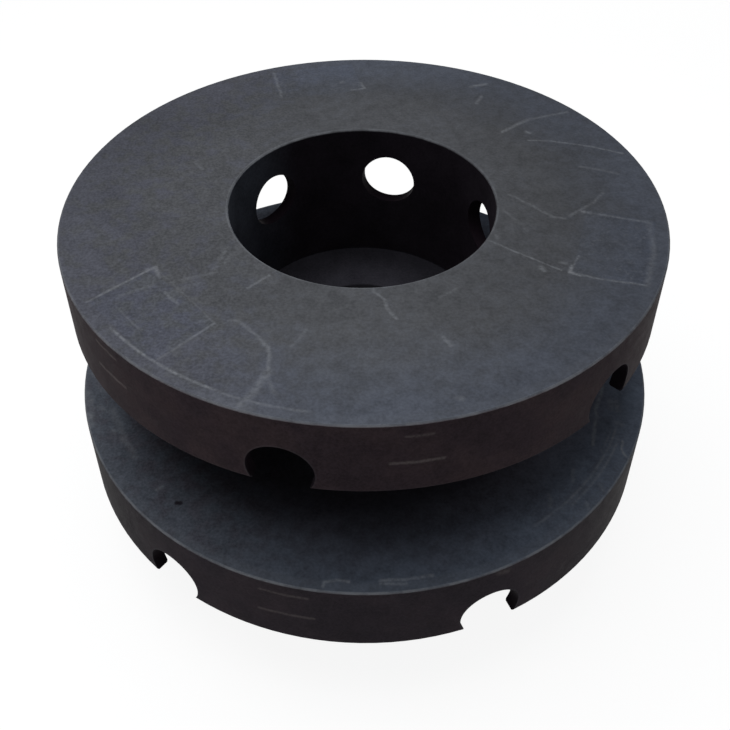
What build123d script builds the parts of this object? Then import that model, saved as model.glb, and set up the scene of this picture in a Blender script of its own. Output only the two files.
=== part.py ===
from build123d import *
import os

# Graphite mold: two like sections, the upper one standing on the lower one.
# A section is one turned piece with thin walls: a round top plate with a wide skirt
# round its rim and a short open cup round its middle. The cup is deeper than the skirt
# and has a drain hole in its floor, and between cup and skirt the underside is an open
# ring channel. Six round ports run in from the rim to the well, through skirt and cup.
# They lie so low in the skirt that they break out through its lower edge.
# Origin: where the lower section's axis meets the ground. +Z is up. Millimetres.

# One section
rim_diameter = 400
skirt_height = 54  # from the skirt's lower edge to the top face
section_height = 120
well_diameter = 179
plate_thickness = 9
skirt_wall = 9
cup_wall = 9
floor_thickness = 9
drain_diameter = 80
edge_break = 1  # on the turned outer corners

# Ports
port_count = 6
port_diameter = 40
port_rise = 11  # from the skirt's lower edge up to the port's axis

# How the sections stand: the direction of a port, in degrees from +X, and the upper
# section's place off the lower one's axis
lower_turn = -66.7
upper_turn = -102.7
upper_shift_x = -1
upper_shift_y = 21

rim_radius = rim_diameter / 2
skirt_radius = rim_radius - skirt_wall
well_radius = well_diameter / 2
cup_radius = well_radius + cup_wall
drain_radius = drain_diameter / 2
port_radius = port_diameter / 2
plate_underside = section_height - plate_thickness
skirt_foot = section_height - skirt_height
port_height = skirt_foot + port_rise


def make_section(label, foot):
    """One section, standing on the plane foot, with a port along that plane's X axis."""
    half_plane = Plane(foot.origin, x_dir=foot.x_dir, z_dir=-foot.y_dir)
    port_middle = foot.origin + foot.z_dir * port_height
    port_planes = []
    for number in range(port_count):
        outward = foot.x_dir.rotate(Axis.Z, number * 360 / port_count)
        port_planes.append(Plane(port_middle, x_dir=foot.z_dir, z_dir=outward))

    with BuildPart() as section:
        with BuildSketch(half_plane) as half_section:
            with BuildLine():
                Polyline(
                    (drain_radius, 0),
                    (cup_radius, 0),
                    (cup_radius, plate_underside),
                    (skirt_radius, plate_underside),
                    (skirt_radius, skirt_foot),
                    (rim_radius, skirt_foot),
                    (rim_radius, section_height),
                    (well_radius, section_height),
                    (well_radius, floor_thickness),
                    (drain_radius, floor_thickness),
                    close=True,
                )
            make_face()
            outer_corners = [
                (cup_radius, 0),
                (skirt_radius, skirt_foot),
                (rim_radius, skirt_foot),
                (rim_radius, section_height),
                (well_radius, section_height),
            ]
            corners = half_section.vertices()
            chamfer([corners.sort_by_distance(place)[0] for place in outer_corners], edge_break)
        revolve(axis=Axis(foot.origin, foot.z_dir))

        with BuildSketch(*port_planes):
            Circle(port_radius)
        extrude(amount=rim_radius + port_radius, mode=Mode.SUBTRACT)

    section.part.label = label
    return section.part


lower_foot = Plane.XY.rotated((0, 0, lower_turn))
upper_foot = Plane((upper_shift_x, upper_shift_y, section_height)).rotated((0, 0, upper_turn))

os.makedirs("parts", exist_ok=True)
for name, foot_plane in (("lower_section", lower_foot), ("upper_section", upper_foot)):
    export_step(make_section(name, foot_plane), f"parts/{name}.step")
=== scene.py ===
from math import cos, pi, radians, sin
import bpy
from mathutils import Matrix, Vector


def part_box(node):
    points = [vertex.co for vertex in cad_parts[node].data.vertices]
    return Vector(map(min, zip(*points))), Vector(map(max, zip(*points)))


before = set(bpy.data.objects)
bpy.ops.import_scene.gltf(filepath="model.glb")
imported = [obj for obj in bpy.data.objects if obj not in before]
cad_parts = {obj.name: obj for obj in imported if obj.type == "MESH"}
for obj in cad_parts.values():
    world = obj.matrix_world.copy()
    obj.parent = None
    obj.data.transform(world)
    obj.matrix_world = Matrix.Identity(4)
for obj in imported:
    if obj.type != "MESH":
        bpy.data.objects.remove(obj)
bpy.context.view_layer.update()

from types import SimpleNamespace

import bpy
from mathutils import Vector

# Looks of the graphite mold: the two turned sections keep their solids and get a
# procedural graphite finish with the marks that the photograph shows. Metres, in the
# part's frame: the lower section's axis stands on the origin, +Y points away.

MM = 0.001
WHITE = (1, 1, 1, 1)
BLACK = (0, 0, 0, 1)

# Sizes of one section, as in the part's source
SECTION_HEIGHT = 120 * MM
SKIRT_HEIGHT = 54 * MM
WELL_RADIUS = 89.5 * MM
FLOOR_THICKNESS = 9 * MM
DRAIN_RADIUS = 40 * MM
PORT_RADIUS = 20 * MM
PORT_RISE = 11 * MM
PORT_COUNT = 6
LOWER_TURN = -66.7  # bearing of one of its ports from +X, in degrees
UPPER_TURN = -102.7
SKIRT_FOOT = SECTION_HEIGHT - SKIRT_HEIGHT
PORT_HEIGHT = SKIRT_FOOT + PORT_RISE

# Camera, fitted to the ellipses of the photograph
IMAGE_SIZE = 730
CAMERA_PLACE = (0.0027, -0.5215, 0.6268)
CAMERA_TURN = (50.49, 0.64, 1.13)  # degrees about X, Y and Z
FOCAL_PIXELS = 992
AXIS_COLUMN = 345  # image column and row that the camera's axis meets
AXIS_ROW = 270
SENSOR = 36
CAMERA_NEAR = 0.01
CAMERA_FAR = 100

# Light: a softbox above at the left, and a dim sky
LAMP_PLACE = (-0.27, 0.10, 1.5)
LAMP_AIM = (0, 0, 0.1)
LAMP_SIZE = 1.5
LAMP_ENERGY = 15
LAMP_COLOUR = (0.98, 0.99, 1.0)
SKY_COLOUR = (0.94, 0.97, 1.0, 1)
SKY_LEVEL = 0.35
HORIZON_LEVEL = 0.06
SKY_TOP = 0.9  # how far up a direction points where the sky comes to its full level

# Floor: what it throws back on the part, and what the camera sees of it, lit and glowing
FLOOR_TO_PART = (0.35, 0.35, 0.35, 1)
FLOOR_TO_CAMERA = (0.16, 0.16, 0.16, 1)
FLOOR_GLOW = 0.9
FLOOR_FADE = (0.5, 1.5)  # from its shadow to the plain white of the surroundings
FLOOR_DROP = 0.1 * MM  # keeps it from flickering through the foot's flat
FLOOR_HALF_WIDTH = 8

# Colours of the insides, painted dark: painted shade in the well, the ports and the skirt's
# inside, and painted light on the left of a well
BORE_BLACK = (0.0155, 0.0125, 0.0165, 1)
BORE_PAINTED_LIGHT = (0.062, 0.070, 0.088, 1)  # painted light on the wall at the left of a well
PORT_BLACK = (0.011, 0.0075, 0.0105, 1)
FLOOR_GREY = (0.0245, 0.0235, 0.0295, 1)
SKIRT_INSIDE = (0.013, 0.009, 0.012, 1)

# Colours of the marks
MARK_LIGHT = (0.25, 0.26, 0.28, 1)
RIM_MARK_LIGHT = (0.24, 0.205, 0.20, 1)
TAPE_TINT = (0.99, 1.01, 1.05)
TAPE_SPECKLE = 0.08
SPOT_DARKNESS = 0.85
MARK_SPREAD = 1.5  # how far a mark fades out, in its own half widths
MARK_BEND = 2 * MM  # how far a mark wobbles off its course

# Noises on the graphite, as (scale, detail, roughness)
GRAIN = (560, 2, 0.65)
SPECKLE = (330, 4, 0.75)
BREAKS = (300, 4, 0.75)  # thin places in the marks
MOTTLE = (170, 3, 0.6)
WOBBLE = (110, 3, 0.6)
PATCHES = (75, 3, 0.55)
GAPS = (70, 3, 0.6)  # wide faint places in the marks
WEAR = (60, 4, 0.7)
STAIN = (26, 4, 0.6)
NOISE_LOW = 0.3  # most of a noise lies between these two
NOISE_HIGH = 0.7
TURNING_SCALE = 700  # fine rings left by turning
TURNING_DETAIL = 3

# Depths into the graphite at which the colour of the rim, a port and the top face begins
# and is full
RIM_SKIN = (0.9 * MM, 0.4 * MM)
PORT_SKIN = (0.15 * MM, 0.05 * MM)
TOP_SKIN = (1.0 * MM, 0.3 * MM)

# Wear and painted highlight of the edges: how wide and how light
RIM_EDGE_WIDTH = 1.6 * MM
EDGE_WIDTH = 2 * MM
WELL_EDGE = 0.42
SKIRT_EDGE = 0.12
PORT_EDGE = 0.10

# Finish. The surroundings are white to reflected rays, so there is hardly any gloss.
SPECULAR_LEVEL = 0.02
ROUGHNESS = (0.55, 0.72)
BUMP_STRENGTH = 0.3
BUMP_DISTANCE = 0.15 * MM

# Marks on the top faces, as (half width, lightness, points of a line), in millimetres
# about the section's own axis
UPPER_MARKS = [
    # edges of the three places rubbed by tape
    (1.1, 0.55, [(-162, -104), (-128, -72)]),
    (1.9, 0.50, [(-132, -75), (-127, -72), (-123, -80)]),
    (0.8, 0.20, [(-127, -72), (-84, -122)]),
    (1.0, 0.38, [(-84, -122), (-112, -152)]),
    (1.6, 0.22, [(-144, -99), (-126, -89)]),
    (1.4, 0.65, [(129, -69), (127, -75), (133, -78)]),
    (1.1, 0.38, [(127, -75), (147, -82), (171, -87)]),
    (0.9, 0.32, [(127, -75), (135, -59)]),
    (1.6, 0.45, [(145, -12), (150, -14)]),
    (1.2, 0.30, [(147, -13), (169, -19), (184, -23)]),
    (2.4, 0.20, [(186, -24), (182, -57), (171, -87)]),
    (1.5, 0.32, [(-72, 176), (-63, 137)]),
    (1.2, 0.42, [(-9, 149), (1, 151), (-2, 160)]),
    # a dusty place at the rim
    (4.5, 0.12, [(-86, -177), (-72, -183), (-58, -188)]),
    # cracks
    (1.3, 0.35, [(-76, -120), (-71, -120), (-61, -130), (-57, -135)]),
    (1.5, 0.42, [(-57, -135), (-52, -141), (-51, -146), (-50, -161)]),
    (2.8, 0.38, [(-50, -161), (-57, -177), (-63, -186)]),
    (1.6, 0.28, [(-50, -168), (-45, -177)]),
    (1.2, 0.20, [(-31, -127), (-35, -136), (-39, -141)]),
    (1.2, 0.42, [(7, -92), (14, -101), (15, -108), (21, -118)]),
    # scratches
    (1.9, 0.28, [(-85, -53), (-90, -73)]),
    (1.4, 0.22, [(-81, -58), (-85, -67)]),
    (1.6, 0.22, [(-115, -86), (-89, -76)]),
    (1.9, 0.16, [(-113, -96), (-98, -86)]),
    (1.1, 0.42, [(-68, -91), (-56, -79)]),
    (1.2, 0.45, [(-117, -95), (-108, -106)]),
    (0.9, 0.40, [(81, -44), (122, -73)]),
    (1.4, 0.20, [(57, -91), (47, -99)]),
    (1.6, 0.42, [(47, -133), (51, -139)]),
    (1.4, 0.25, [(-118, 46), (-112, 37)]),
    (1.9, 0.42, [(85, 154), (97, 158)]),
    (1.6, 0.32, [(92, 139), (87, 128)]),
    (1.8, 0.34, [(103, 87), (123, 104)]),
    (1.7, 0.22, [(123, 104), (154, 115)]),
    (1.1, 0.34, [(120, 75), (137, 74), (163, 67), (185, 58)]),
    (1.4, 0.20, [(152, 41), (168, 36), (176, 32)]),
    (1.4, 0.27, [(99, 7), (112, -5), (125, -18), (132, -20)]),
    (1.4, 0.26, [(136, -17), (154, -2), (162, 9)]),
    (1.6, 0.18, [(93, -11), (106, -31)]),
    # specks
    (1.9, 0.40, [(86, -39), (87, -40)]),
    (1.9, 0.45, [(110, -70), (112, -73)]),
    (1.7, 0.35, [(123, -65), (126, -67)]),
    (1.7, 0.45, [(120, 87), (122, 85)]),
    (1.7, 0.25, [(105, -30), (106, -33)]),
    (1.9, 0.30, [(-17, 161), (-16, 162)]),
    (1.9, 0.25, [(52, -180), (54, -180)]),
]
LOWER_MARKS = [
    # scratches at the left and hooks at the front
    (1.4, 0.30, [(-130, -127), (-127, -124)]),
    (1.2, 0.28, [(-22, -195), (-21, -192), (-14, -191), (-7, -192)]),
    (1.2, 0.28, [(11, -191), (26, -190), (42, -187)]),
    (1.2, 0.22, [(11, -193), (26, -193)]),
    # streaks and specks at the far left
    (3.2, 0.22, [(-193, -22), (-179, -42)]),
    (2.6, 0.24, [(-172, -59), (-165, -73), (-158, -86), (-149, -100)]),
    (3.0, 0.28, [(-193, -43), (-188, -57), (-184, -73)]),
    (2.0, 0.50, [(-189, -50), (-188, -53)]),
    (2.2, 0.60, [(-187, -62), (-186, -66)]),
    (2.0, 0.35, [(-182, -56), (-179, -59)]),
    (2.0, 0.35, [(-168, -78), (-166, -80)]),
    (2.0, 0.30, [(-161, -83), (-159, -87)]),
    # crack and smears at the right
    (1.4, 0.45, [(168, -34), (166, -40), (159, -56), (159, -62), (155, -75), (152, -87)]),
    (2.6, 0.26, [(171, -48), (170, -55)]),
    (2.6, 0.26, [(174, -49), (174, -56)]),
    (2.6, 0.20, [(171, -68), (174, -69)]),
    (1.0, 0.50, [(172, -84), (170, -91), (171, -95), (173, -98)]),
    (1.6, 0.18, [(136, -108), (134, -118)]),
    (1.6, 0.16, [(117, -128), (118, -132), (117, -137)]),
    (1.3, 0.26, [(140, -134), (140, -139)]),
    (1.3, 0.18, [(151, -119), (152, -125)]),
    (1.3, 0.22, [(157, -92), (157, -94)]),
]

# Turned rings on the top faces, as (radius, half width, lightness, bearings from -Y of
# both ends), in millimetres and degrees
UPPER_RINGS = [
    (191.3, 1.1, 0.60, -50, -22),
    (192.0, 1.1, 0.32, -25, -6),
    (179.8, 0.9, 0.24, -54, -43),
]
LOWER_RINGS = [
    (184.8, 1.1, 0.34, 33, 69),
    (188.5, 1.1, 0.30, 42, 66),
    (182.0, 0.9, 0.20, 58, 68),
    (186.5, 4.0, 0.08, 36, 68),
]
RING_END = 4  # how far a ring takes to fade in, in degrees

# Small dark spots on the top faces, as (radius, x, y) in millimetres
LOWER_SPOTS = [(1.5, -115.9, -137.1), (1.5, -113.7, -137.2)]

# Places rubbed by tape, on the upper top face
TAPE_COUNT = 3
TAPE_TURN = -17  # bearing of the first one's middle, from +X
TAPE_MIDDLE = 167 * MM  # from the section's axis
TAPE_WIDTH = 44 * MM
TAPE_LENGTH = 67 * MM
TAPE_BLUR = 0.6 * MM

# Marks on the rims, as (half width, lightness, bearing from -Y and depth below the top
# face of each end), in millimetres and degrees
UPPER_RIM_MARKS = [
    (1.3, 0.50, (-49.6, 7), (-43.9, 8.5)),
    (1.4, 0.60, (-50.4, 27.8), (-42.6, 27.5)),
    (1.2, 0.36, (7, 9.6), (11.2, 9.6)),
    (1.4, 0.60, (4.8, 30.5), (13.1, 30.4)),
]
LOWER_RIM_MARKS = [
    (1.3, 0.42, (-17.5, 9.9), (-9.1, 9.8)),
    (1.4, 0.45, (-17.9, 30.9), (-8.2, 29.8)),
    (2.4, 0.32, (24, 3.4), (25.7, 5.4)),
]

# A way 60 degrees off the X axis, across a top face
WAY_X = 0.5
WAY_Y = 0.87

# How each section looks. The levels multiply the lightness of its top face: they are painted
# light and shade.
LOWER_LOOK = SimpleNamespace(
    face_warm=(0.056, 0.051, 0.063, 1),  # near the well; reddish there as the tint of the painted shadow
    face_violet=(0.054, 0.060, 0.074, 1),  # near the rim, at the left; its blue is painted skylight
    face_blue=(0.051, 0.060, 0.079, 1),  # near the rim, at the right; its blue is painted skylight
    at_left=1.2,  # painted light level at the left
    painted_light_right=1.5,  # painted light level at the right
    painted_light_front_to_back=(1.10, 2.0),  # painted light levels at the front and at the back
    painted_light_round_well=(0.32, 0.32),  # painted light and shade round the well, as levels at the back and at the front; on the lower section, the painted shadow of the upper section
    painted_light_reach=(0.61, 0.85),  # where they fade out, as shares of the radius
    painted_light_centre_x=-12,  # where they are centred, in millimetres
    painted_light_back_edge=1.0,  # painted light level along the edge at the back right
    rim_edge=0.65,  # share of light wear and painted highlight on the corner
    band=0.05,  # share of light dust along the front of the edge
    blotch=0.5,  # how much the colours mix
    unevenness=1.1,  # how much the lightness changes from place to place
    mark_strength=1.2,
    has_tape=False,
    face_marks=LOWER_MARKS,
    rings=LOWER_RINGS,
    spots=LOWER_SPOTS,
    dust=0.2,  # share of light dust at the far left
    # The rim's colours are darker and warmer than the top face's: painted shade for the sides
    # that the light above misses. The side colour is more painted shade, where the rim turns
    # away from the front.
    rim=(0.049, 0.040, 0.048, 1),
    rim_stain=(0.055, 0.043, 0.050, 1),
    rim_side_shade=(0.037, 0.034, 0.036, 1),
    rim_marks=LOWER_RIM_MARKS,
)
UPPER_LOOK = SimpleNamespace(
    face_warm=(0.071, 0.073, 0.079, 1),
    face_violet=(0.064, 0.066, 0.080, 1),
    face_blue=(0.061, 0.067, 0.083, 1),
    at_left=0.97,
    painted_light_right=0.78,
    painted_light_front_to_back=(1.27, 0.94),
    painted_light_round_well=(1.08, 0.89),
    painted_light_reach=(0.55, 0.88),
    painted_light_centre_x=0,
    painted_light_back_edge=1.27,
    rim_edge=0.50,
    band=0.03,
    blotch=0.85,
    unevenness=1.0,
    mark_strength=0.9,
    has_tape=True,
    face_marks=UPPER_MARKS,
    rings=UPPER_RINGS,
    spots=[],
    dust=0.05,
    # The rim's colours are darker and warmer than the top face's: painted shade for the sides
    # that the light above misses. The side colour is more painted shade, where the rim turns
    # away from the front.
    rim=(0.057, 0.041, 0.048, 1),
    rim_stain=(0.066, 0.046, 0.050, 1),
    rim_side_shade=(0.042, 0.032, 0.035, 1),
    rim_marks=UPPER_RIM_MARKS,
)


def make_camera():
    data = bpy.data.cameras.new("camera")
    data.sensor_width = SENSOR
    data.lens = FOCAL_PIXELS / IMAGE_SIZE * SENSOR
    data.shift_x = (IMAGE_SIZE / 2 - AXIS_COLUMN) / IMAGE_SIZE
    data.shift_y = (AXIS_ROW - IMAGE_SIZE / 2) / IMAGE_SIZE
    data.clip_start = CAMERA_NEAR
    data.clip_end = CAMERA_FAR
    camera = bpy.data.objects.new("camera", data)
    camera.location = CAMERA_PLACE
    camera.rotation_euler = [radians(turn) for turn in CAMERA_TURN]
    bpy.context.scene.collection.objects.link(camera)
    bpy.context.scene.camera = camera


class Graph:
    """A short way to write a tree of shader nodes."""

    def __init__(self, tree):
        self.tree = tree

    def node(self, kind, settings=None, inputs=None):
        made = self.tree.nodes.new(kind)
        for name, value in (settings or {}).items():
            setattr(made, name, value)
        for name, value in (inputs or {}).items():
            socket = made.inputs[name]
            if isinstance(value, bpy.types.NodeSocket):
                self.tree.links.new(value, socket)
            else:
                socket.default_value = value
        return made

    def math(self, operation, *values, clamp=False):
        settings = {"operation": operation, "use_clamp": clamp}
        return self.node("ShaderNodeMath", settings, dict(enumerate(values))).outputs[0]

    def vector(self, operation, *values):
        settings = {"operation": operation}
        made = self.node("ShaderNodeVectorMath", settings, dict(enumerate(values)))
        scalar = operation in ("LENGTH", "DOT_PRODUCT", "DISTANCE")
        return made.outputs["Value" if scalar else "Vector"]

    def scaled(self, value, factor):
        inputs = {0: value, "Scale": factor}
        made = self.node("ShaderNodeVectorMath", {"operation": "SCALE"}, inputs)
        return made.outputs["Vector"]

    def ramp(self, value, start, end, low=0.0, high=1.0):
        """value from start to end, eased, gives low to high."""
        settings = {"interpolation_type": "SMOOTHSTEP"}
        inputs = {
            "Value": value,
            "From Min": start,
            "From Max": end,
            "To Min": low,
            "To Max": high,
        }
        return self.node("ShaderNodeMapRange", settings, inputs).outputs["Result"]

    def noise(self, vector, scale, detail, roughness):
        inputs = {"Vector": vector, "Scale": scale, "Detail": detail, "Roughness": roughness}
        return self.node("ShaderNodeTexNoise", None, inputs).outputs["Fac"]

    def line_noise(self, value, scale, detail):
        settings = {"noise_dimensions": "1D"}
        inputs = {"W": value, "Scale": scale, "Detail": detail}
        return self.node("ShaderNodeTexNoise", settings, inputs).outputs["Fac"]

    def spread(self, noise, amount):
        """A noise as a change between minus and plus an amount."""
        return self.ramp(noise, NOISE_LOW, NOISE_HIGH, -amount, amount)

    def mix(self, factor, first, second):
        inputs = {0: factor, 6: first, 7: second}
        return self.node("ShaderNodeMix", {"data_type": "RGBA"}, inputs).outputs[2]

    def product(self, *values):
        result = values[0]
        for value in values[1:]:
            result = self.math("MULTIPLY", result, value)
        return result

    def join(self, x, y, z=0.0):
        return self.node("ShaderNodeCombineXYZ", None, {0: x, 1: y, 2: z}).outputs[0]

    def split(self, vector):
        return self.node("ShaderNodeSeparateXYZ", None, {0: vector}).outputs

    def call(self, group, inputs):
        return self.node("ShaderNodeGroup", {"node_tree": group}, inputs).outputs[0]


def new_material(name):
    material = bpy.data.materials.new(name)
    material.use_nodes = True
    material.node_tree.nodes.clear()
    return material


def background_rays(g):
    """1 for the rays that see white surroundings: the camera's, reflected, refracted."""
    rays = g.node("ShaderNodeLightPath").outputs
    seen = g.math("MAXIMUM", rays["Is Camera Ray"], rays["Is Glossy Ray"])
    return g.math("MAXIMUM", seen, rays["Is Transmission Ray"])


def make_line_group():
    """A node group that adds a light line from A to B to the marks so far.

    State holds a place on the surface in X and Y, and in Z the marks there.
    """
    group = bpy.data.node_groups.new("line_mark", "ShaderNodeTree")
    for name in ("State", "A", "B"):
        group.interface.new_socket(name, in_out="INPUT", socket_type="NodeSocketVector")
    for name in ("Width", "Lightness"):
        group.interface.new_socket(name, in_out="INPUT", socket_type="NodeSocketFloat")
    group.interface.new_socket("State", in_out="OUTPUT", socket_type="NodeSocketVector")
    g = Graph(group)
    given = g.node("NodeGroupInput").outputs
    x, y, so_far = g.split(given["State"])[:3]
    to_point = g.vector("SUBTRACT", g.join(x, y), given["A"])
    along = g.vector("SUBTRACT", given["B"], given["A"])
    length = g.vector("DOT_PRODUCT", along, along)
    reach = g.math("DIVIDE", g.vector("DOT_PRODUCT", to_point, along), length, clamp=True)
    off = g.vector("SUBTRACT", to_point, g.scaled(along, reach))
    line = g.ramp(g.vector("LENGTH", off), given["Width"], 0.0)
    marks = g.math("MAXIMUM", so_far, g.math("MULTIPLY", line, given["Lightness"]))
    g.node("NodeGroupOutput", None, {"State": g.join(x, y, marks)})
    return group


def make_floor():
    """A white floor that keeps a soft shadow and throws back little light."""
    material = new_material("floor")
    g = Graph(material.node_tree)
    seen = background_rays(g)
    distance = g.vector("LENGTH", g.node("ShaderNodeTexCoord").outputs["Object"])
    far = g.ramp(distance, *FLOOR_FADE)
    colour = g.mix(seen, FLOOR_TO_PART, g.mix(far, FLOOR_TO_CAMERA, BLACK))
    diffuse = g.node("ShaderNodeBsdfDiffuse", None, {"Color": colour}).outputs[0]
    strength = g.product(seen, g.ramp(distance, *FLOOR_FADE, FLOOR_GLOW, 1.0))
    glow = g.node("ShaderNodeEmission", None, {"Color": WHITE, "Strength": strength}).outputs[0]
    shader = g.node("ShaderNodeAddShader", None, {0: diffuse, 1: glow}).outputs[0]
    g.node("ShaderNodeOutputMaterial", None, {"Surface": shader})

    mesh = bpy.data.meshes.new("floor")
    corners = [
        (side_x * FLOOR_HALF_WIDTH, side_y * FLOOR_HALF_WIDTH, -FLOOR_DROP)
        for side_x, side_y in ((-1, -1), (1, -1), (1, 1), (-1, 1))
    ]
    mesh.from_pydata(corners, [], [(0, 1, 2, 3)])
    mesh.materials.append(material)
    floor = bpy.data.objects.new("floor", mesh)
    bpy.context.scene.collection.objects.link(floor)


def make_light():
    """A softbox above at the left, and a sky that is brighter above than at the horizon."""
    world = bpy.data.worlds.new("studio")
    bpy.context.scene.world = world
    world.use_nodes = True
    world.node_tree.nodes.clear()
    g = Graph(world.node_tree)
    up = g.split(g.node("ShaderNodeTexCoord").outputs["Generated"])[2]
    level = g.ramp(up, 0.0, SKY_TOP, HORIZON_LEVEL, SKY_LEVEL)
    sky = g.node("ShaderNodeBackground", None, {"Color": SKY_COLOUR, "Strength": level})
    white = g.node("ShaderNodeBackground", None, {"Color": WHITE, "Strength": 1.0})
    inputs = {0: background_rays(g), 1: sky.outputs[0], 2: white.outputs[0]}
    shader = g.node("ShaderNodeMixShader", None, inputs).outputs[0]
    g.node("ShaderNodeOutputWorld", None, {"Surface": shader})

    lamp = bpy.data.lights.new("softbox", "AREA")
    lamp.shape = "DISK"
    lamp.size = LAMP_SIZE
    lamp.energy = LAMP_ENERGY
    lamp.color = LAMP_COLOUR
    softbox = bpy.data.objects.new("softbox", lamp)
    softbox.location = LAMP_PLACE
    bpy.context.scene.collection.objects.link(softbox)
    aim = Vector(LAMP_AIM) - softbox.location
    softbox.rotation_euler = aim.to_track_quat("-Z", "Y").to_euler()


def surface(g, node, turn):
    """Places and noises on a section, in its own frame: its axis is at x = y = 0."""
    low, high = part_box(node)
    foot = Vector(((low.x + high.x) / 2, (low.y + high.y) / 2, low.z))
    rim_radius = (high.x - low.x) / 2
    place = g.node("ShaderNodeTexCoord").outputs["Object"]
    own = g.vector("SUBTRACT", place, foot)
    x, y, z = g.split(own)[:3]
    radius = g.vector("LENGTH", g.join(x, y))

    # Distance from the nearest port's axis
    step = 2 * pi / PORT_COUNT
    from_port = g.math("SUBTRACT", g.math("ARCTAN2", y, x), radians(turn) - step / 2)
    folded = g.math("SUBTRACT", g.math("FLOORED_MODULO", from_port, step), step / 2)
    beside = g.product(radius, g.math("SINE", folded))
    above = g.math("SUBTRACT", z, PORT_HEIGHT)

    wobble = g.math("SUBTRACT", g.noise(own, *WOBBLE), 0.5)
    thin = g.ramp(g.noise(own, *BREAKS), 0.36, 0.62, 0.35, 1.0)
    faint = g.ramp(g.noise(own, *GAPS), 0.30, 0.60, 0.6, 1.1)
    return SimpleNamespace(
        own=own,
        x=x,
        y=y,
        z=z,
        radius=radius,
        rim_radius=rim_radius,
        from_front=g.math("ARCTAN2", x, g.product(y, -1.0)),  # bearing from -Y
        leftward=g.ramp(x, 0.0, -0.6 * rim_radius),
        port_distance=g.vector("LENGTH", g.join(beside, above)),
        grain=g.noise(own, *GRAIN),
        mottle=g.noise(own, *MOTTLE),
        patches=g.noise(own, *PATCHES),
        stain=g.noise(own, *STAIN),
        turning=g.line_noise(radius, TURNING_SCALE, TURNING_DETAIL),
        speckle=g.ramp(g.noise(own, *SPECKLE), 0.52, 0.66),
        broken=g.product(thin, faint),
        bend=g.product(wobble, MARK_BEND),
    )


def uneven(g, noises, strength=1.0):
    """A tone about 1 that changes with noises, each by its amount."""
    tone = 1.0
    for noise, amount in noises:
        tone = g.math("ADD", tone, g.spread(noise, amount * strength))
    return tone


def add_line(g, line_group, state, start, end, width, lightness):
    """The marks so far, with one more line; its half width is in millimetres."""
    return g.call(line_group, {
        "State": state,
        "A": start,
        "B": end,
        "Width": width * MM * MARK_SPREAD,
        "Lightness": lightness,
    })


def face_marks(g, at, look, line_group):
    """The light lines on a top face."""
    state = g.join(g.math("ADD", at.x, at.bend), g.math("ADD", at.y, at.bend))
    for width, lightness, places in look.face_marks:
        places = [(x * MM, y * MM, 0) for x, y in places]
        lightness *= look.mark_strength
        for start, end in zip(places, places[1:]):
            state = add_line(g, line_group, state, start, end, width, lightness)
    return g.split(state)[2]


def face_rings(g, at, look):
    """The light rings on a top face."""
    lines = 0.0
    for radius, width, lightness, start, end in look.rings:
        off = g.math("ABSOLUTE", g.math("SUBTRACT", at.radius, radius * MM))
        line = g.ramp(off, width * MM * MARK_SPREAD, 0.0, 0.0, lightness)
        begun = g.ramp(at.from_front, radians(start), radians(start + RING_END))
        open_end = g.ramp(at.from_front, radians(end), radians(end - RING_END))
        lines = g.math("MAXIMUM", lines, g.product(line, begun, open_end))
    return lines


def rim_marks(g, at, look, line_group):
    """The light lines on a rim: bearings become the way round it."""
    way_round = g.math("MULTIPLY", at.from_front, at.rim_radius)
    state = g.join(way_round, g.math("ADD", at.z, at.bend))
    for width, lightness, *ends in look.rim_marks:
        start, end = [
            (radians(bearing) * at.rim_radius, SECTION_HEIGHT - depth * MM, 0)
            for bearing, depth in ends
        ]
        state = add_line(g, line_group, state, start, end, width, lightness)
    return g.split(state)[2]


def tape_places(g, at):
    """1 inside the places rubbed by tape."""
    inside = 0.0
    for number in range(TAPE_COUNT):
        turn = radians(TAPE_TURN + number * 360 / TAPE_COUNT)
        outward = g.math("ADD", g.product(at.x, cos(turn)), g.product(at.y, sin(turn)))
        across = g.math("SUBTRACT", g.product(at.y, cos(turn)), g.product(at.x, sin(turn)))
        off_middle = g.math("ABSOLUTE", g.math("SUBTRACT", outward, TAPE_MIDDLE))
        along = g.math("SUBTRACT", off_middle, TAPE_WIDTH / 2)
        beside = g.math("SUBTRACT", g.math("ABSOLUTE", across), TAPE_LENGTH / 2)
        distance = g.math("MAXIMUM", along, beside)
        inside = g.math("MAXIMUM", inside, g.ramp(distance, TAPE_BLUR, -TAPE_BLUR))
    return inside


def face_tint(g, at, look):
    """A top face's colour: warmer near the well and bluer near the rim, in blotches. The blue
    is painted skylight, and on the lower section the warmth near the well is the tint of its
    painted shadow.
    """
    outward = g.ramp(at.radius, 0.6 * at.rim_radius, 0.98 * at.rim_radius)
    blotch = g.math("ADD", g.spread(at.stain, 0.15), g.spread(at.mottle, 0.12))
    patchy = g.product(g.ramp(at.patches, 0.35, 0.65, -0.8, 0.8), at.leftward)
    blotch = g.product(g.math("ADD", blotch, patchy), look.blotch)
    cool = g.mix(at.leftward, look.face_blue, look.face_violet)
    return g.mix(g.math("ADD", outward, blotch, clamp=True), look.face_warm, cool)


def face_tone(g, at, look):
    """A top face's grain, about 1: finer contrast at the right than at the left."""
    grain = g.product(g.spread(at.grain, 0.17), g.ramp(at.leftward, 0.0, 1.0, 0.65, 1.1))
    noises = ((at.mottle, 0.11), (at.patches, 0.07), (at.stain, 0.06))
    return g.math("ADD", uneven(g, noises, look.unevenness), grain)


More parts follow.
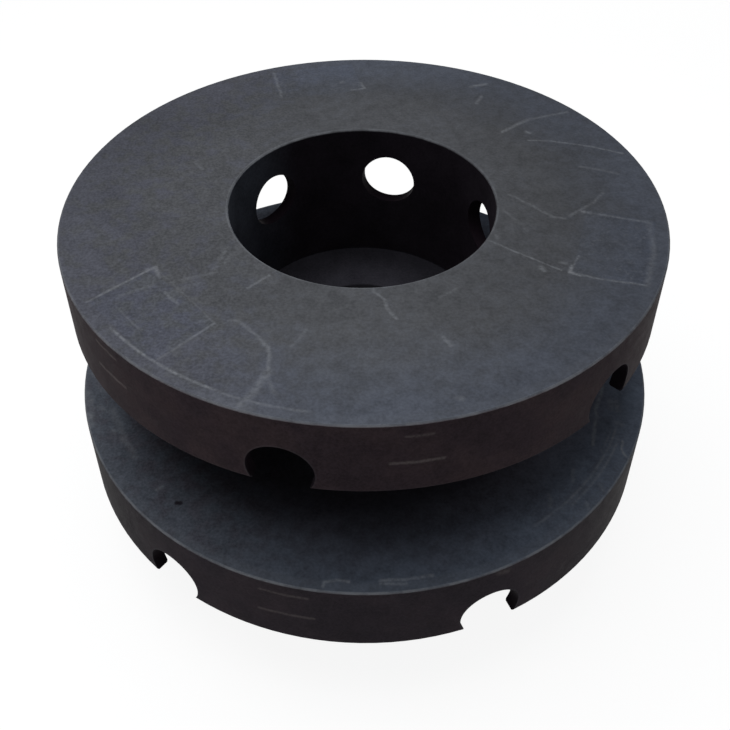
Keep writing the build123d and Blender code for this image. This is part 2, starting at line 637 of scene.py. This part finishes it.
def painted_light_level(g, at, look):
    """Painted light and shade on a top face: how light it is from place to place, as in the
    photograph.
    """
    reach = at.rim_radius
    to_left = g.ramp(at.x, -0.2 * reach, -0.9 * reach, 1.0, look.at_left)
    to_right = g.ramp(at.x, 0.0, 0.8 * reach, 1.0, look.painted_light_right)
    along = g.ramp(at.y, -0.9 * reach, 0.9 * reach, *look.painted_light_front_to_back)

    # Painted light and shade round the well, and on the lower section the upper section's
    # painted shadow, less far at the left than at the right
    aside = g.math("MAXIMUM", g.product(at.x, WAY_X), g.product(at.x, -0.3))
    to_front = g.math("SUBTRACT", aside, g.product(at.y, WAY_Y))
    inner = g.ramp(to_front, 0.0, 0.6 * reach, *look.painted_light_round_well)
    inner_end, outer_start = look.painted_light_reach
    off_middle = g.vector("DISTANCE", g.join(at.x, at.y), (look.painted_light_centre_x * MM, 0, 0))
    painted_light_round_well = g.ramp(off_middle, inner_end * reach, outer_start * reach, inner, 1.0)

    # Painted light along the edge at the back right
    to_back_right = g.math("ADD", g.product(at.x, WAY_X), g.product(at.y, WAY_Y))
    painted_light_back_edge = g.ramp(to_back_right, 0.0, 0.8 * reach, 1.0, look.painted_light_back_edge)
    edge = g.ramp(at.radius, 0.70 * reach, 0.97 * reach, 1.0, painted_light_back_edge)
    return g.product(to_left, to_right, along, painted_light_round_well, edge)


def face_colour(g, at, look, line_group):
    """A top face with its rubbed places, marks and dust."""
    reach = at.rim_radius
    level = g.product(face_tone(g, at, look), painted_light_level(g, at, look))
    colour = g.scaled(face_tint(g, at, look), level)
    if look.has_tape:
        tape = tape_places(g, at)
        colour = g.mix(tape, colour, g.vector("MULTIPLY", colour, TAPE_TINT))
        colour = g.mix(g.product(tape, at.speckle, TAPE_SPECKLE), colour, MARK_LIGHT)

    near_rim = g.ramp(at.radius, 0.958 * reach, 0.972 * reach)
    band = g.product(near_rim, g.ramp(at.y, 0.0, -0.8 * reach), look.band)
    colour = g.mix(band, colour, MARK_LIGHT)

    straight = face_marks(g, at, look, line_group)
    lines = g.math("MAXIMUM", straight, face_rings(g, at, look))
    colour = g.mix(g.product(lines, at.broken), colour, MARK_LIGHT)
    for radius, x, y in look.spots:
        off = g.vector("DISTANCE", g.join(at.x, at.y), (x * MM, y * MM, 0))
        spot = g.ramp(off, radius * MM * MARK_SPREAD, 0.5 * radius * MM, 0.0, SPOT_DARKNESS)
        colour = g.mix(spot, colour, PORT_BLACK)

    at_left = g.ramp(at.x, -0.70 * reach, -0.95 * reach)
    dusty = g.product(at_left, g.ramp(at.stain, 0.35, 0.55), look.dust)
    return g.mix(g.product(dusty, g.math("ADD", at.speckle, 0.2)), colour, MARK_LIGHT)


def rim_colour(g, at, look, line_group):
    """The outside of a skirt: dark and brownish, partly as painted shade, with more painted
    shade towards its sides, redder in stains, with scraped lines.
    """
    colour = g.mix(g.ramp(at.stain, 0.38, 0.68), look.rim, look.rim_stain)
    # Painted shade: darker where the rim turns away from the front
    aside = g.math("ABSOLUTE", at.from_front)
    colour = g.mix(g.ramp(aside, radians(25), radians(65)), colour, look.rim_side_shade)
    noises = ((at.grain, 0.16), (at.mottle, 0.12), (at.patches, 0.08), (at.stain, 0.12))
    colour = g.scaled(colour, uneven(g, noises))
    lines = rim_marks(g, at, look, line_group)
    broken = g.ramp(at.grain, 0.3, 0.6, 0.6, 1.0)
    return g.mix(g.product(lines, broken), colour, RIM_MARK_LIGHT)


def inside_colour(g, at):
    """The insides, in painted shade: the well nearly black with painted light on its wall at
    the left, stronger towards the mouth, its floor greyer, the skirt's inside in between.
    """
    in_well = g.ramp(at.radius, WELL_RADIUS + 3 * MM, WELL_RADIUS + 1 * MM)
    at_left = g.ramp(at.x, -0.5 * WELL_RADIUS, -0.98 * WELL_RADIUS)
    upward = g.ramp(at.z, 0.5 * SECTION_HEIGHT, SECTION_HEIGHT, 0.48, 0.83)
    wall = g.mix(g.product(upward, at_left), BORE_BLACK, BORE_PAINTED_LIGHT)
    colour = g.mix(in_well, SKIRT_INSIDE, wall)

    # The well's floor, with painted shade by the wall and round the drain
    low_down = g.ramp(at.z, FLOOR_THICKNESS + 1.5 * MM, FLOOR_THICKNESS + 0.5 * MM)
    by_wall = g.ramp(at.radius, WELL_RADIUS - 34 * MM, WELL_RADIUS - 2 * MM, 0.0, 0.3)
    by_drain = g.ramp(at.radius, DRAIN_RADIUS + 5 * MM, DRAIN_RADIUS + 2.5 * MM, 0.0, 0.7)
    floor = g.mix(g.math("MAXIMUM", by_wall, by_drain), FLOOR_GREY, BLACK)
    colour = g.mix(g.product(in_well, low_down), colour, floor)
    return g.scaled(colour, uneven(g, ((at.grain, 0.15), (at.stain, 0.25))))


def edge_wear_and_highlight(g, at, look, on_rim):
    """How light the turned corners and the ports' edges are: wear, with painted highlight
    strongest along the front of the rim's corner and at the left of the well's mouth.
    """
    near_front = g.ramp(at.y, 0.5 * at.rim_radius, -0.2 * at.rim_radius)
    near_left = g.ramp(at.x, WELL_RADIUS, -0.5 * WELL_RADIUS, 0.5, 1.0)
    corners = (
        (at.rim_radius, SECTION_HEIGHT, RIM_EDGE_WIDTH, g.product(near_front, look.rim_edge)),
        (WELL_RADIUS, SECTION_HEIGHT, EDGE_WIDTH, g.product(near_left, WELL_EDGE)),
        (at.rim_radius, SKIRT_FOOT, EDGE_WIDTH, SKIRT_EDGE),
    )
    edges = 0.0
    for radius, height, width, lightness in corners:
        aside = g.math("SUBTRACT", at.radius, radius)
        above = g.math("SUBTRACT", at.z, height)
        corner = g.ramp(g.vector("LENGTH", g.join(aside, above)), width, 0.4 * width)
        edges = g.math("MAXIMUM", edges, g.product(corner, lightness))
    off_edge = g.math("SUBTRACT", at.port_distance, PORT_RADIUS + 0.5 * MM)
    port_edge = g.ramp(g.math("ABSOLUTE", off_edge), 0.9 * MM, 0.3 * MM)
    port_edge = g.product(port_edge, on_rim, PORT_EDGE)
    worn = g.ramp(g.noise(at.own, *WEAR), 0.35, 0.65, 0.35, 1.0)
    return g.product(g.math("MAXIMUM", edges, port_edge), worn)


def graphite(name, node, turn, look, line_group):
    """Graphite with its wear and marks, for one section."""
    material = new_material(name)
    g = Graph(material.node_tree)
    at = surface(g, node, turn)

    on_rim = g.ramp(at.radius, *[at.rim_radius - depth for depth in RIM_SKIN])
    in_port = g.ramp(at.port_distance, *[PORT_RADIUS + depth for depth in PORT_SKIN])
    on_top = g.ramp(at.z, *[SECTION_HEIGHT - depth for depth in TOP_SKIN])
    colour = g.mix(on_rim, inside_colour(g, at), rim_colour(g, at, look, line_group))
    # Painted shade: the ports' walls are near black
    colour = g.mix(in_port, colour, PORT_BLACK)
    colour = g.mix(on_top, colour, face_colour(g, at, look, line_group))
    # Light edges: wear and painted highlight
    colour = g.mix(edge_wear_and_highlight(g, at, look, on_rim), colour, MARK_LIGHT)

    height = g.math("ADD", g.product(at.grain, 0.6), g.product(at.turning, 0.4))
    bump = g.node("ShaderNodeBump", None, {
        "Strength": BUMP_STRENGTH,
        "Distance": BUMP_DISTANCE,
        "Height": height,
    })
    shader = g.node("ShaderNodeBsdfPrincipled", None, {
        "Base Color": colour,
        "Roughness": g.ramp(at.mottle, 0.2, 0.8, *ROUGHNESS),
        "Specular IOR Level": SPECULAR_LEVEL,
        "Normal": bump.outputs[0],
    })
    g.node("ShaderNodeOutputMaterial", None, {"Surface": shader.outputs[0]})
    return material


def dress_sections():
    line_group = make_line_group()
    for node, turn, look in (
        ("lower_section", LOWER_TURN, LOWER_LOOK),
        ("upper_section", UPPER_TURN, UPPER_LOOK),
    ):
        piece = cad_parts[node]
        piece.data.materials.clear()
        piece.data.materials.append(graphite(node + "_graphite", node, turn, look, line_group))


bpy.context.scene.view_settings.view_transform = "Standard"
make_camera()
make_floor()
make_light()
dress_sections()
